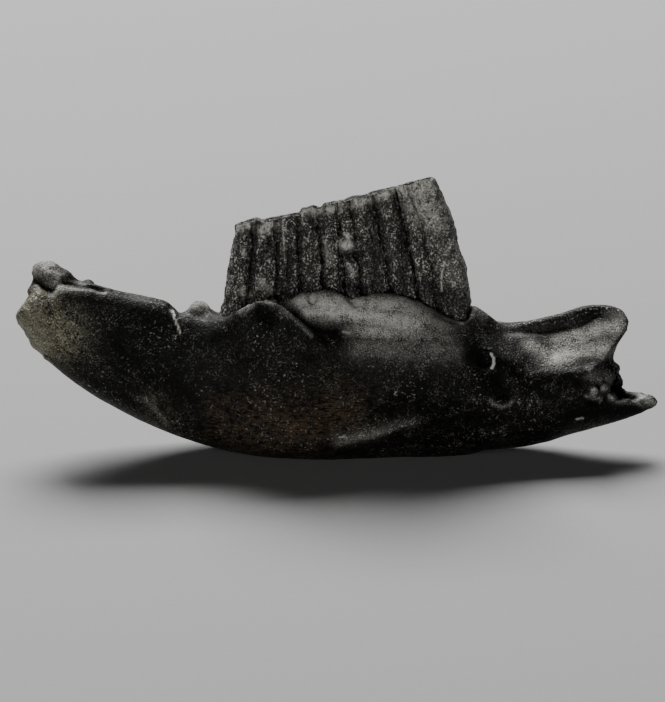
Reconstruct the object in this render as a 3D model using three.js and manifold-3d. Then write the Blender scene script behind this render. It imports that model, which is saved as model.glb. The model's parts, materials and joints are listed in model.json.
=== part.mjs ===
// Fossil lower jaw of a muskrat: the left half, black and mineralised, seen from its outer side.
// The bone carries three ridged cheek teeth and the broken stump of its gnawing tooth.
// Millimetres. +X runs from the chin to the jaw hinge, -Y is the outer side, +Z is up.
// The origin is a point on the worn flat spot of the belly that the jaw rests on.

import * as THREE from 'three';
import { LoftGeometry } from 'three/addons/geometries/LoftGeometry.js';
import { mergeVertices } from 'three/addons/utils/BufferGeometryUtils.js';
import Module from 'manifold-3d';

const wasm = await Module();
wasm.setup();

// Driving dimensions
const BONE_SECTIONS = 50;
const PRONG_SECTIONS = 14;
const POINTS_PER_STRIP = 3;
const TIP_ROUNDING = 0.03; // share of a loft's length over which its end closes
const TIP_SIZE = 0.14; // what is left of the last section
const END_CROWDING = 0.35; // 0 spaces a loft's sections evenly, 1 crowds them most at its ends
const SOCKET_GAP = 0.25;
const TOOTH_GAP = 0.2; // between neighbouring cheek teeth
const BALL_SEGMENTS = 10;
const BALL_RINGS = 7;
const TOOTH_RINGS = 4;
const SOCKET_RINGS = 4;
const SOCKET_GROOVE = 0.2; // share of the tooth's grooves that the socket's wall follows
const ROOT_Z = 6.4; // where the cheek teeth end inside the bone

// The bone's long lines, each a list of [x, y, z] from the chin to the hinge, in order round the bone
const BONE_LINES = {
  keel: [
    [-18.6, -0.2, 6.3], [-16.9, -0.3, 4.9], [-15.3, -0.4, 3.7], [-13.0, -0.4, 2.4], [-11.0, -0.4, 1.5],
    [-8.7, -0.4, 0.7], [-6.0, -0.4, 0.0], [-3.5, -0.4, -0.35], [0.0, -0.4, -0.45], [4.0, -0.5, -0.45],
    [7.0, -0.5, -0.3], [9.0, -0.4, 0.1], [11.5, -0.3, 1.2], [13.5, -0.3, 2.2], [15.0, -0.2, 3.0],
    [16.6, -0.2, 3.7],
  ],
  outerFoot: [
    [-18.5, -1.0, 6.5], [-16.9, -1.2, 5.1], [-15.1, -1.4, 3.9], [-12.8, -1.5, 2.6], [-10.0, -1.7, 1.4],
    [-7.0, -2.0, 0.6], [-4.0, -2.3, 0.25], [-1.0, -2.4, 0.15], [1.5, -2.3, 0.25], [4.0, -2.1, 0.35],
    [6.0, -2.1, 0.4], [8.5, -2.1, 0.7], [11.0, -1.9, 1.4], [13.3, -1.7, 2.3], [15.0, -1.6, 3.1],
    [16.6, -1.3, 3.8],
  ],
  outerLow: [
    [-18.5, -1.5, 7.1], [-16.9, -1.9, 5.9], [-15.0, -2.2, 4.7], [-12.5, -2.5, 3.5], [-9.0, -3.0, 2.2],
    [-6.0, -3.3, 1.5], [-3.0, -3.4, 1.1], [-0.3, -3.5, 1.35], [1.5, -3.7, 1.9], [3.1, -3.9, 2.45],
    [4.7, -3.8, 2.95], [6.0, -3.3, 2.6], [8.0, -3.0, 1.9], [10.0, -3.0, 1.8], [12.0, -2.8, 2.1],
    [13.3, -2.6, 2.7], [14.3, -2.4, 3.4], [16.0, -2.1, 3.9], [16.7, -1.9, 4.2],
  ],
  outerFossa: [
    [-18.4, -1.8, 7.9], [-16.8, -2.2, 6.9], [-14.5, -2.5, 5.8], [-11.8, -2.8, 4.8], [-8.5, -3.3, 3.8],
    [-5.5, -3.7, 3.3], [-2.5, -3.8, 3.0], [0.0, -3.7, 3.0], [2.0, -3.6, 3.3], [4.0, -3.7, 3.8],
    [6.0, -3.8, 3.7], [8.0, -3.6, 3.3], [10.0, -3.4, 3.2], [12.5, -3.1, 3.4], [14.4, -2.7, 4.0],
    [16.0, -2.3, 4.6], [16.8, -2.0, 5.0],
  ],
  outerMid: [
    [-18.4, -1.95, 8.6], [-16.5, -2.4, 8.0], [-14.0, -2.8, 7.1], [-11.0, -3.1, 6.2], [-8.0, -3.6, 5.7],
    [-5.0, -4.2, 5.4], [-2.0, -4.3, 5.1], [1.0, -4.1, 4.9], [4.0, -4.2, 5.1], [7.0, -4.2, 5.0],
    [10.0, -3.7, 4.8], [12.5, -3.2, 4.9], [14.5, -2.7, 5.2], [16.3, -2.2, 5.6], [17.0, -1.8, 6.0],
  ],
  outerHigh: [
    [-18.4, -1.75, 10.0], [-16.5, -2.1, 9.8], [-14.0, -2.4, 9.2], [-11.0, -2.6, 8.5], [-9.0, -2.9, 8.1],
    [-7.0, -3.7, 8.3], [-5.0, -4.4, 9.0], [-3.5, -4.4, 8.4], [-1.0, -4.2, 7.2], [2.0, -4.1, 6.8],
    [5.0, -4.2, 6.9], [8.0, -3.8, 6.8], [10.0, -3.3, 6.1], [12.5, -2.7, 5.8], [14.5, -2.3, 6.0],
    [16.3, -1.8, 6.4], [17.6, -1.3, 7.0],
  ],
  crest: [
    [-18.2, -1.0, 10.85], [-16.6, -1.3, 11.0], [-15.6, -1.2, 10.9], [-14.0, -1.0, 10.6], [-12.5, -1.3, 10.3],
    [-11.2, -1.3, 10.1], [-10.0, -1.5, 9.6], [-8.7, -1.7, 9.2], [-7.6, -2.2, 9.3], [-6.5, -3.5, 10.4],
    [-4.9, -4.0, 11.4], [-3.7, -4.1, 11.1], [-2.5, -4.0, 9.9], [-1.2, -3.9, 8.9], [0.6, -3.8, 8.3],
    [3.7, -3.8, 8.1], [6.2, -3.7, 8.2], [8.1, -3.5, 7.8], [10.0, -2.9, 7.0], [12.5, -2.1, 6.2],
    [15.0, -1.8, 6.2], [16.6, -1.5, 6.6], [17.6, -1.2, 7.3], [18.6, -0.7, 8.0],
  ],
  trough: [
    [-18.4, -0.3, 10.9], [-16.5, -0.4, 10.7], [-14.0, -0.5, 10.3], [-11.0, -0.6, 9.8], [-9.0, -0.9, 9.0],
    [-7.2, -2.0, 9.2], [-5.0, -2.9, 9.4], [-3.0, -3.0, 9.2], [-1.0, -2.9, 8.9], [0.6, -2.9, 9.2],
    [2.0, -3.0, 9.7], [4.0, -3.0, 9.8], [6.0, -2.8, 9.4], [7.5, -2.4, 8.9], [9.0, -1.6, 8.2],
    [11.0, -0.6, 7.4], [13.0, 0.1, 7.4],
    [15.0, 0.3, 8.0], [16.5, 0.4, 8.5], [17.8, 0.2, 8.5], [18.8, 0.0, 8.2],
  ],
  outerRim: [
    [-18.7, 0.6, 11.3], [-16.5, 0.5, 11.1], [-14.0, 0.2, 10.5], [-11.0, 0.0, 9.9], [-9.0, -0.1, 9.1],
    [-7.4, -1.0, 9.5], [-5.0, -1.9, 10.3], [-3.2, -1.9, 10.4], [-1.8, -1.9, 11.1], [-0.4, -1.9, 11.1],
    [0.8, -1.9, 10.5], [2.5, -1.9, 10.9], [4.0, -1.8, 10.7], [5.5, -1.7, 10.0], [7.5, -1.5, 9.1],
    [8.4, -0.4, 9.5], [9.3, 0.1, 8.8], [10.3, 0.5, 8.0], [12.0, 0.7, 8.2], [14.0, 0.9, 8.6],
    [15.5, 0.9, 9.1], [16.7, 0.8, 9.2], [17.8, 0.6, 8.9], [18.7, 0.4, 8.4],
  ],
  innerRim: [
    [-18.9, 1.4, 11.3], [-17.4, 1.4, 11.15], [-16.0, 1.2, 10.55], [-14.4, 0.8, 10.1], [-12.2, 0.6, 9.8],
    [-10.5, 0.6, 9.1], [-9.0, 0.8, 8.9], [-7.6, 1.5, 9.0], [-5.0, 2.8, 10.5], [-2.0, 2.9, 10.9],
    [2.0, 2.8, 10.9], [5.0, 2.5, 10.4], [7.2, 2.1, 9.5], [8.2, 1.6, 8.9], [9.3, 1.1, 8.3],
    [10.0, 1.2, 7.75], [10.8, 1.3, 7.7], [12.0, 1.4, 8.0], [13.7, 1.5, 8.4], [15.0, 1.5, 8.9],
    [16.0, 1.5, 9.0], [17.3, 1.3, 8.8], [18.5, 0.8, 8.2],
  ],
  innerHigh: [
    [-18.8, 2.0, 10.5], [-16.0, 2.3, 9.6], [-13.0, 2.1, 8.8], [-10.0, 2.1, 8.2], [-7.0, 2.9, 8.5],
    [-4.0, 3.5, 9.1], [0.0, 3.6, 9.3], [4.0, 3.4, 9.1], [7.0, 2.9, 8.5], [9.5, 2.3, 7.6],
    [12.0, 2.1, 7.2], [14.5, 2.0, 7.5], [16.3, 1.7, 7.8], [17.8, 1.2, 7.9],
  ],
  innerMid: [
    [-18.7, 2.1, 8.9], [-16.0, 2.6, 7.5], [-13.0, 2.7, 6.2], [-10.0, 2.9, 5.4], [-7.0, 3.3, 5.2],
    [-4.0, 3.7, 5.4], [0.0, 3.8, 5.6], [4.0, 3.6, 5.6], [7.0, 3.3, 5.4], [10.0, 2.7, 5.0],
    [12.5, 2.2, 5.3], [14.5, 1.9, 5.8], [16.3, 1.5, 6.2], [17.1, 1.2, 6.5],
  ],
  innerLow: [
    [-18.6, 1.1, 7.0], [-16.5, 1.6, 5.4], [-14.0, 1.8, 4.0], [-11.0, 2.0, 2.6], [-8.0, 2.3, 1.7],
    [-5.0, 2.4, 1.2], [0.0, 2.3, 0.9], [4.0, 2.2, 1.0], [7.0, 2.0, 1.4], [9.5, 1.8, 1.9],
    [12.0, 1.6, 2.8], [14.0, 1.4, 3.6], [15.5, 1.1, 4.1], [16.7, 0.8, 4.6],
  ],
};

// The lower rear prong's long lines, from inside the bone to its worn tip
const PRONG_LINES = {
  keel: [
    [5.0, -0.4, 0.6], [8.0, -0.5, 0.1], [10.0, -0.5, 0.2], [11.2, -0.5, 0.35], [12.8, -0.6, 0.65],
    [14.4, -0.8, 1.2], [16.2, -0.9, 1.75], [18.0, -0.9, 2.3], [19.1, -0.8, 2.75], [19.65, -0.7, 3.0],
  ],
  outerLow: [
    [5.0, -2.4, 1.5], [8.0, -2.5, 1.3], [10.0, -2.5, 1.3], [12.8, -2.4, 1.8], [14.4, -2.2, 2.4],
    [16.2, -1.9, 2.9], [18.0, -1.5, 3.0], [19.2, -1.2, 3.1], [19.65, -0.9, 3.2],
  ],
  outerEdge: [
    [5.0, -3.0, 3.0], [8.0, -3.0, 3.2], [10.0, -3.0, 3.3], [12.8, -2.9, 3.4], [14.4, -2.7, 3.75],
    [16.2, -2.2, 3.9], [18.0, -1.6, 3.75], [19.1, -1.2, 3.85], [19.65, -0.9, 3.65],
  ],
  channel: [
    [5.0, -1.0, 4.0], [8.0, -1.0, 4.0], [10.0, -1.0, 4.0], [12.8, -1.2, 4.2], [14.4, -1.0, 4.1],
    [16.2, -0.8, 3.5], [18.0, -0.6, 3.3], [19.1, -0.6, 3.8], [19.65, -0.7, 3.65],
  ],
  innerEdge: [
    [5.0, 1.0, 4.5], [8.0, 1.0, 4.5], [12.8, 1.0, 4.6], [14.4, 0.9, 4.6], [16.2, 0.8, 4.5],
    [17.3, 0.6, 4.0], [18.4, 0.3, 3.65], [19.2, 0.0, 3.7], [19.65, -0.4, 3.5],
  ],
  innerLow: [
    [5.0, 1.8, 2.0], [8.0, 1.8, 1.6], [10.0, 1.7, 1.5], [12.8, 1.4, 1.9], [14.4, 1.1, 2.3],
    [16.2, 0.8, 2.8], [18.0, 0.4, 2.8], [19.2, 0.0, 3.0], [19.65, -0.3, 3.2],
  ],
};

// Knobs, lips and crumbs of broken bone: centre, radii and turn about Z in degrees
const LUMPS = [
  { at: [-18.25, 0.9, 11.35], radii: [1.05, 0.95, 0.8], turn: 15 }, // knob over the gnawing tooth
  { at: [-17.3, 1.0, 10.8], radii: [1.35, 0.65, 0.5], turn: 0 }, // its neck
  { at: [-8.9, -0.1, 9.0], radii: [0.85, 0.65, 0.65], turn: 0 }, // bead in the gap before the cheek teeth
  { at: [17.0, 0.6, 5.2], radii: [0.55, 0.6, 0.8], turn: 10 }, // broken web between the rear prongs
  { at: [15.8, -2.3, 4.6], radii: [0.55, 0.5, 0.4], turn: 30 },
  { at: [16.5, -2.0, 4.7], radii: [0.5, 0.45, 0.4], turn: 0 },
  { at: [17.0, -1.7, 3.95], radii: [0.45, 0.4, 0.35], turn: 0 },
  { at: [16.9, -1.3, 5.4], radii: [0.4, 0.5, 0.5], turn: 0 },
];

// Hollows cut into the bone: openings of vessels and nerves, and worn dips
const HOLLOWS = [
  { at: [9.1, -3.7, 7.2], radii: [0.42, 0.9, 0.6], turn: 0 }, // nerve opening behind the cheek teeth
  { at: [10.3, -3.9, 5.0], radii: [0.8, 0.5, 0.6], turn: 0 }, // dip below it
  { at: [-18.5, -0.6, 11.1], radii: [0.6, 0.75, 0.35], turn: 0 }, // dip under the front knob
  { at: [11.5, 3.1, 6.0], radii: [0.7, 0.9, 0.45], turn: 0 }, // inner nerve opening
];

// Cheek teeth: the lines between them, as x at the chewing surface and at the gum, with a bow between
const FENCES = [
  { top: -6.75, gum: -7.15, bow: 0.1 },
  { top: -0.15, gum: 0.45, bow: 0.0 },
  { top: 3.45, gum: 4.9, bow: 0.1 },
  { top: 5.75, gum: 8.05, bow: 0.45 },
];
const GUM_Z = 10.4;
const NOTCH = 0.16; // how far the chewing surface dips where a groove meets its outer edge
const CHEEK_TEETH = [
  {
    name: 'first_molar', outer: -1.05, inner: 1.95, depth: 0.85,
    outerGrooves: [0.2, 0.43, 0.62, 0.82], innerGrooves: [0.1, 0.31, 0.53, 0.72, 0.91],
  },
  {
    name: 'second_molar', outer: -1.05, inner: 1.7, depth: 0.8,
    outerGrooves: [0.22, 0.64], innerGrooves: [0.1, 0.43, 0.83],
  },
  {
    name: 'third_molar', outer: -0.95, inner: 1.35, depth: 0.4,
    outerGrooves: [0.36], innerGrooves: [0.2, 0.65],
  },
];
const RIDGE_REACH = 0.34; // half width of a ridge's crown, as a share of the ridge
const RIDGE_SHOULDER = 0.2; // how far down the groove its shoulders stand
const FACE_KNOTS = [0.35, 0.7]; // corners of the front and back faces across the tooth
const CHEEK_FLARE = 0.25; // how far a cheek tooth widens on each side from top to gum
const CHEWING = { z: 15.2, x: -6.7, rise: 0.24, tilt: 0.3 }; // sloping plane that the teeth wear down to

// Gnawing tooth: the middle line of the stump, from inside the bone to the broken end
const STUMP_PATH = [
  [-10.5, -0.1, 4.9], [-12.8, -0.1, 5.4], [-15.0, -0.1, 6.4], [-17.0, -0.15, 7.7], [-18.6, -0.2, 8.65],
  [-20.3, -0.2, 9.3],
];
const STUMP_WIDTH = 3.1;
const STUMP_DEPTH = 3.6;
const STUMP_SECTIONS = 11;
const STUMP_POINTS = 16;
const STUMP_BREAK = { starts: 0.84, back: 0.55, width: 0.6, least: 0.1 }; // where it closes, what stays

const BELLY_CUT = { x: 30, y: 12, z: 4 }; // block that wears the belly flat

// Slope of a line at knot i, limited so that a curve through the knots never overshoots them
function slopeAt(line, i, axis) {
  const step = (k) => (line[k + 1][axis] - line[k][axis]) / (line[k + 1][0] - line[k][0]);
  if (i === 0) return step(0);
  if (i === line.length - 1) return step(i - 1);
  const before = step(i - 1);
  const after = step(i);
  return before * after <= 0 ? 0 : (2 * before * after) / (before + after);
}

// Point of a long line at share u of its own length in X
function pointOn(line, u) {
  const x = THREE.MathUtils.lerp(line[0][0], line.at(-1)[0], u);
  let i = 0;
  while (i < line.length - 2 && x > line[i + 1][0]) i += 1;
  const span = line[i + 1][0] - line[i][0];
  const t = THREE.MathUtils.clamp((x - line[i][0]) / span, 0, 1);
  const hermite = (axis) =>
    line[i][axis] * (1 + 2 * t) * (1 - t) ** 2 +
    line[i + 1][axis] * t * t * (3 - 2 * t) +
    slopeAt(line, i, axis) * span * t * (1 - t) ** 2 -
    slopeAt(line, i + 1, axis) * span * t * t * (1 - t);
  return new THREE.Vector3(x, hermite(1), hermite(2));
}

// Share of its full size that a section keeps, so that the rear end of a loft is rounded
function fullness(u) {
  const toEnd = Math.min(1, (1 - u) / TIP_ROUNDING);
  return Math.sqrt(Math.max(TIP_SIZE ** 2, 1 - (1 - toEnd) ** 2));
}

// Skin over a set of long lines, its sections crowded towards both ends
function loftOver(lines, sectionCount) {
  const sections = [];
  for (let k = 0; k < sectionCount; k += 1) {
    const even = k / (sectionCount - 1);
    const u = THREE.MathUtils.lerp(even, (1 - Math.cos(Math.PI * even)) / 2, END_CROWDING);
    const knots = Object.values(lines).map((line) => pointOn(line, u));
    const middle = knots.reduce((sum, p) => sum.add(p), new THREE.Vector3()).divideScalar(knots.length);
    const size = fullness(u);
    knots.forEach((p) => p.sub(middle).multiplyScalar(size).add(middle));
    const ring = new THREE.CatmullRomCurve3(knots, true, 'centripetal');
    sections.push(ring.getPoints(knots.length * POINTS_PER_STRIP).slice(1).reverse());
  }
  return new LoftGeometry(sections, { capStart: true, capEnd: true });
}

// Closed geometry as a solid that can be joined and cut
function solidFrom(geometry) {
  const bare = new THREE.BufferGeometry();
  bare.setAttribute('position', geometry.attributes.position);
  bare.setIndex(geometry.index);
  const merged = mergeVertices(bare, 1e-4);
  const triVerts = new Uint32Array(merged.index.array);
  const vertProperties = new Float32Array(merged.attributes.position.array);
  return new wasm.Manifold(new wasm.Mesh({ numProp: 3, vertProperties, triVerts }));
}

// The solid's surface as a three.js geometry
function geometryFrom(solid) {
  const mesh = solid.getMesh();
  const geometry = new THREE.BufferGeometry();
  geometry.setAttribute('position', new THREE.BufferAttribute(mesh.vertProperties, 3));
  geometry.setIndex(new THREE.BufferAttribute(mesh.triVerts, 1));
  geometry.computeVertexNormals();
  return geometry;
}

// Rounded lump or hollow: a squashed ball
function ball({ at, radii, turn }) {
  const geometry = new THREE.SphereGeometry(1, BALL_SEGMENTS, BALL_RINGS);
  geometry.scale(...radii);
  geometry.rotateZ(THREE.MathUtils.degToRad(turn));
  geometry.translate(...at);
  return solidFrom(geometry);
}

// Height of the worn chewing surface
function chewingHeight(x, y) {
  return CHEWING.z + CHEWING.rise * (x - CHEWING.x) - CHEWING.tilt * (y + 1);
}

// Where the line between two cheek teeth stands, at a share of the way from the top to the gum
function fenceAt(fence, down) {
  return fence.top + (fence.gum - fence.top) * down + fence.bow * 4 * down * (1 - down);
}

// One side of a cheek tooth on a unit square: ridges with grooves between them
function sideKnots(grooves, depth) {
  const ends = [0, ...grooves, 1];
  const knots = [];
  ends.slice(1).forEach((end, i) => {
    const middle = (ends[i] + end) / 2;
    const reach = RIDGE_REACH * (end - ends[i]);
    const shoulder = RIDGE_SHOULDER * depth;
    knots.push([middle - reach, shoulder], [middle, 0], [middle + reach, shoulder]);
    if (end < 1) knots.push([end, depth]);
  });
  return knots;
}

// Outline of one cheek tooth on a unit square, anticlockwise from above; its ridges alternate
function toothOutline(tooth, depth, pointsPerKnot) {
  const share = depth / (tooth.inner - tooth.outer);
  const inner = sideKnots(tooth.innerGrooves, share).reverse();
  const knots = [
    ...sideKnots(tooth.outerGrooves, share),
    ...FACE_KNOTS.map((t) => [1, t]),
    ...inner.map(([s, t]) => [s, 1 - t]),
    ...FACE_KNOTS.map((t) => [0, 1 - t]),
  ];
  const corners = knots.map(([s, t]) => new THREE.Vector3(s, t, 0));
  const curve = new THREE.CatmullRomCurve3(corners, true, 'centripetal');
  return curve.getPoints(corners.length * pointsPerKnot).slice(0, -1);
}

// One cheek tooth, grown by a margin on every side; its socket is the same shape with a larger margin
function toothGeometry(tooth, front, back, margin) {
  const width = tooth.inner - tooth.outer;
  const rings = margin > 0 ? SOCKET_RINGS : TOOTH_RINGS;
  const depth = margin > 0 ? tooth.depth * SOCKET_GROOVE : tooth.depth;
  const outline = toothOutline(tooth, depth, margin > 0 ? 1 : 2);
  const sections = [];
  for (let k = 0; k <= rings; k += 1) {
    const ring = outline.map((p) => {
      const topX = THREE.MathUtils.lerp(front.top, back.top, p.x);
      const topY = THREE.MathUtils.lerp(tooth.outer, tooth.inner, p.y);
      const dip = NOTCH * Math.min(1, Math.max(0, p.y * width / depth)) * (p.y < FACE_KNOTS[0] ? 1 : 0);
      const topZ = chewingHeight(topX, topY) - dip;
      const z = THREE.MathUtils.lerp(ROOT_Z - margin, topZ, k / rings);
      const down = Math.max(0, (topZ - z) / (topZ - GUM_Z));
      const a = fenceAt(front, down) + TOOTH_GAP / 2 - margin;
      const b = fenceAt(back, down) - TOOTH_GAP / 2 + margin;
      const flare = CHEEK_FLARE * Math.min(1, down) + margin;
      const y = THREE.MathUtils.lerp(tooth.outer - flare, tooth.inner + flare, p.y);
      return new THREE.Vector3(THREE.MathUtils.lerp(a, b, p.x), y, z);
    });
    sections.push(ring);
  }
  return new LoftGeometry(sections, { capStart: true, capEnd: true });
}

// Stump of the gnawing tooth, broken off obliquely, or with a margin the canal it sits in
function stumpGeometry(margin) {
  const path = new THREE.CatmullRomCurve3(STUMP_PATH.map((p) => new THREE.Vector3(...p)));
  const across = new THREE.Vector3(0, 1, 0);
  const sections = [];
  for (let k = 0; k <= STUMP_SECTIONS; k += 1) {
    const u = k / STUMP_SECTIONS;
    const middle = path.getPointAt(u);
    const back = new THREE.Vector3().crossVectors(across, path.getTangentAt(u)).normalize();
    const past = margin > 0 ? 0 : Math.max(0, u - STUMP_BREAK.starts) / (1 - STUMP_BREAK.starts);
    const closing = Math.sqrt(Math.max(STUMP_BREAK.least ** 2, 1 - past ** 2));
    const ring = [];
    for (let j = 0; j < STUMP_POINTS; j += 1) {
      const angle = (-2 * Math.PI * j) / STUMP_POINTS;
      const depthKept = Math.sin(angle) > 0 ? Math.max(closing, STUMP_BREAK.back) : closing;
      const y = Math.cos(angle) * (STUMP_WIDTH / 2 + margin) * Math.max(closing, STUMP_BREAK.width);
      const depth = Math.sin(angle) * (STUMP_DEPTH / 2 + margin) * depthKept;
      ring.push(middle.clone().addScaledVector(across, y).addScaledVector(back, depth));
    }
    sections.push(ring);
  }
  return new LoftGeometry(sections, { capStart: true, capEnd: true });
}

// The bone: main loft, rear prong and lumps joined, then hollows, sockets and the flat spot cut
function boneSolid() {
  let bone = solidFrom(loftOver(BONE_LINES, BONE_SECTIONS));
  bone = bone.add(solidFrom(loftOver(PRONG_LINES, PRONG_SECTIONS)));
  LUMPS.forEach((lump) => {
    bone = bone.add(ball(lump));
  });
  HOLLOWS.forEach((hollow) => {
    bone = bone.subtract(ball(hollow));
  });
  CHEEK_TEETH.forEach((tooth, i) => {
    bone = bone.subtract(solidFrom(toothGeometry(tooth, FENCES[i], FENCES[i + 1], SOCKET_GAP)));
  });
  bone = bone.subtract(solidFrom(stumpGeometry(SOCKET_GAP)));
  const block = new THREE.BoxGeometry(BELLY_CUT.x, BELLY_CUT.y, BELLY_CUT.z);
  block.translate(0, 0, -BELLY_CUT.z / 2);
  return bone.subtract(solidFrom(block));
}

function finish(color, roughness) {
  return new THREE.MeshStandardMaterial({ color, roughness, metalness: 0 });
}

const BONE_FINISH = finish(0x1b1a18, 0.45);
const ENAMEL_FINISH = finish(0x24231f, 0.3);
const STUMP_FINISH = finish(0x4a4634, 0.5);

function piece(name, geometry, material) {
  const mesh = new THREE.Mesh(geometry, material);
  mesh.name = name;
  return mesh;
}

const jaw = new THREE.Group();
jaw.add(piece('jaw_bone', geometryFrom(boneSolid()), BONE_FINISH));
CHEEK_TEETH.forEach((tooth, i) => {
  jaw.add(piece(tooth.name, toothGeometry(tooth, FENCES[i], FENCES[i + 1], 0), ENAMEL_FINISH));
});
jaw.add(piece('incisor_stump', stumpGeometry(0), STUMP_FINISH));

export default jaw;
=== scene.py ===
"""Fossil muskrat jaw: the left lower jaw, black and mineralised, with three ridged cheek teeth."""

import json
import math

import bpy
import numpy as np
from bpy.props import FloatProperty, FloatVectorProperty, PointerProperty
from mathutils import Matrix, Vector, kdtree, noise

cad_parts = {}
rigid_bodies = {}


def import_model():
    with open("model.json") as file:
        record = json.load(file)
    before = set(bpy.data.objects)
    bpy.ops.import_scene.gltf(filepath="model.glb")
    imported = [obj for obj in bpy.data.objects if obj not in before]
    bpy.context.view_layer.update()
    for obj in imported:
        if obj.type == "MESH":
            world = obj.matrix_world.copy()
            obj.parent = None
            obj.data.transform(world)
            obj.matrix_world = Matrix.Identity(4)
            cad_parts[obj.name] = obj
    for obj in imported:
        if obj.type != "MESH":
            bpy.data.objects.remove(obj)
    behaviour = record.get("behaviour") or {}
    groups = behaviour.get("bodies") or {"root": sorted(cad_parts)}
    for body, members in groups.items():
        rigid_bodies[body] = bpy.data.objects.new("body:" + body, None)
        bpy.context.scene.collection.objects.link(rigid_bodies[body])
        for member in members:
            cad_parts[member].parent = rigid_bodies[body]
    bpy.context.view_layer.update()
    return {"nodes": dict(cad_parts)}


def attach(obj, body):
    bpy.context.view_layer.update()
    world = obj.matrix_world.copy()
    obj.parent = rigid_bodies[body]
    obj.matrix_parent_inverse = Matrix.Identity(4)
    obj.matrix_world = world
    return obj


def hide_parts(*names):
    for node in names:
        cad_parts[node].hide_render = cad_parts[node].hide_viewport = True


bl_info = {
    "name": "Fossil Muskrat Jaw",
    "version": (1, 0, 0),
    "blender": (4, 5, 0),
    "location": "View3D > Sidebar > Jaw",
    "description": "Dresses the solids of a fossil muskrat jaw with worn bone, enamel and dentine",
    "category": "Object",
}

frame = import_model()

MM = 0.001
TO_MM = Matrix.Scale(1 / MM, 4)
TO_METRES = Matrix.Scale(MM, 4)

# The photograph's frame and how it maps onto the jaw, which it shows from the outer side
PHOTO_SIZE_PX = (665, 702)
PX_PER_MM = 16.0
ORIGIN_PX = (340.0, 448.5)
VIEW_ELEVATION = math.radians(20)
CHEEK_TEETH = ("first_molar", "second_molar", "third_molar")
MEETING = 0.13  # how far each cheek tooth reaches towards its neighbours, in millimetres
TOOTH_LEVELS = 24  # heights at which a tooth's two ends are found
MERGE_DISTANCE = 0.0005  # below which two corners of a CAD mesh are one, in millimetres

# How far inwards, along Y in millimetres, the work on the outer side goes
BONE_CARVING_END = 1.6
TOOTH_CARVING_END = 0.2
PAINT_END = 0.8
KNOB_PAINT_END = 1.7  # the front knob lies further in than the rest
KNOB_REAR_X = -14.0
PAINT_FADE = 0.8

# How the tops of the cheek teeth are worn, in millimetres and shares
TOP_BAND = 1.5  # height of the crown over which the notches of the chewing edge fade out
TOP_FACING = 0.75  # upward part of the normal on the chewing surface
TOP_SHARE = 0.8  # the chewing surface is within the upper 0.2 of the band
SIDE_SHARE = 0.7  # and the sides that its rim is measured from within the upper 0.3
RIM_FADE = 0.15  # from the enamel's rim to the full depth of the dentine


def outer_view(points):
    """Where points, in millimetres, stand in the outer view: along the jaw, and up the picture."""
    across = points[:, 0]
    up = points[:, 2] * math.cos(VIEW_ELEVATION) + points[:, 1] * math.sin(VIEW_ELEVATION)
    return np.stack([across, up], axis=1)


def from_photo(x_px, y_px):
    """A place in the photograph as a place in the outer view, in millimetres."""
    return ((x_px - ORIGIN_PX[0]) / PX_PER_MM, (ORIGIN_PX[1] - y_px) / PX_PER_MM)


def inner_view(points):
    """Where points, in millimetres, stand on the inner side: along the jaw, and up."""
    return points[:, [0, 2]]


def in_millimetres(along, up):
    """A place of the inner side, given as it is."""
    return (along, up)


def strokes(*runs, place_of=from_photo):
    """Lines through places of a view, each with its half width in millimetres and its strength."""
    lines = []
    for half_width, strength, *places in runs:
        corners = [place_of(*place) for place in places]
        lines += [(a, b, half_width, strength) for a, b in zip(corners, corners[1:] or corners)]
    return lines


# What is carved into the bone's outer side: half width and height in millimetres, and places in photograph
# pixels
BONE_CARVING = strokes(
    (0.55, -0.35, (473, 350), (482, 362)),
    (0.12, 0.08, (490, 350), (495, 357), (495, 364), (491, 371)),
    (0.50, -0.22, (322, 323), (352, 325)),
    (0.14, -0.16, (170, 308), (171, 320), (176, 333)),
    (0.10, 0.05, (175, 309), (177, 320), (182, 333)),
    (0.16, 0.09, (245, 299), (262, 298), (277, 302), (292, 318), (325, 346)),
    (0.50, -0.40, (260, 310), (272, 322)),
    (0.22, -0.20, (312, 298), (312, 306)),
    (0.22, -0.20, (352, 300), (356, 304)),
    (0.35, -0.30, (40, 284), (52, 290)),
    (0.12, 0.12, (60, 288), (70, 287), (95, 291)),
    (0.16, -0.20, (64, 281), (84, 286), (104, 291)),
    (0.40, 0.25, (52, 279), (57, 282)),
    (0.55, 0.14, (335, 444), (360, 436), (385, 429)),
    (0.45, 0.08, (385, 429), (406, 423)),
    (0.40, -0.35, (345, 452), (385, 444), (418, 434)),
    (0.55, -0.25, (500, 382), (506, 392)),
    (0.30, -0.26, (510, 330), (545, 330), (575, 324), (598, 313)),
    (0.50, -0.12, (555, 352), (600, 345)),
    (0.40, -0.14, (583, 362), (592, 361)),
    (0.20, -0.30, (590, 402), (605, 408)),
    (0.26, 0.24, (593, 391)),
    (0.24, 0.22, (603, 388)),
    (0.20, 0.24, (612, 398)),
    (0.16, 0.12, (586, 396)),
    (0.14, -0.16, (598, 386), (599, 394)),
    (0.14, -0.14, (607, 391), (606, 398)),
    (0.16, 0.18, (614, 402), (638, 402)),
    (0.22, -0.22, (618, 394), (634, 400)),
    (0.45, -0.16, (395, 420), (380, 425)),
    (0.16, 0.14, (396, 391), (398, 394)),
    (0.35, 0.12, (150, 402), (160, 418)),
    (0.60, -0.16, (120, 340), (135, 360)),
    (0.50, 0.12, (175, 342), (173, 362)),
    (0.45, 0.14, (300, 362), (318, 370)),
    (0.80, -0.14, (225, 360), (250, 372)),
)
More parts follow.
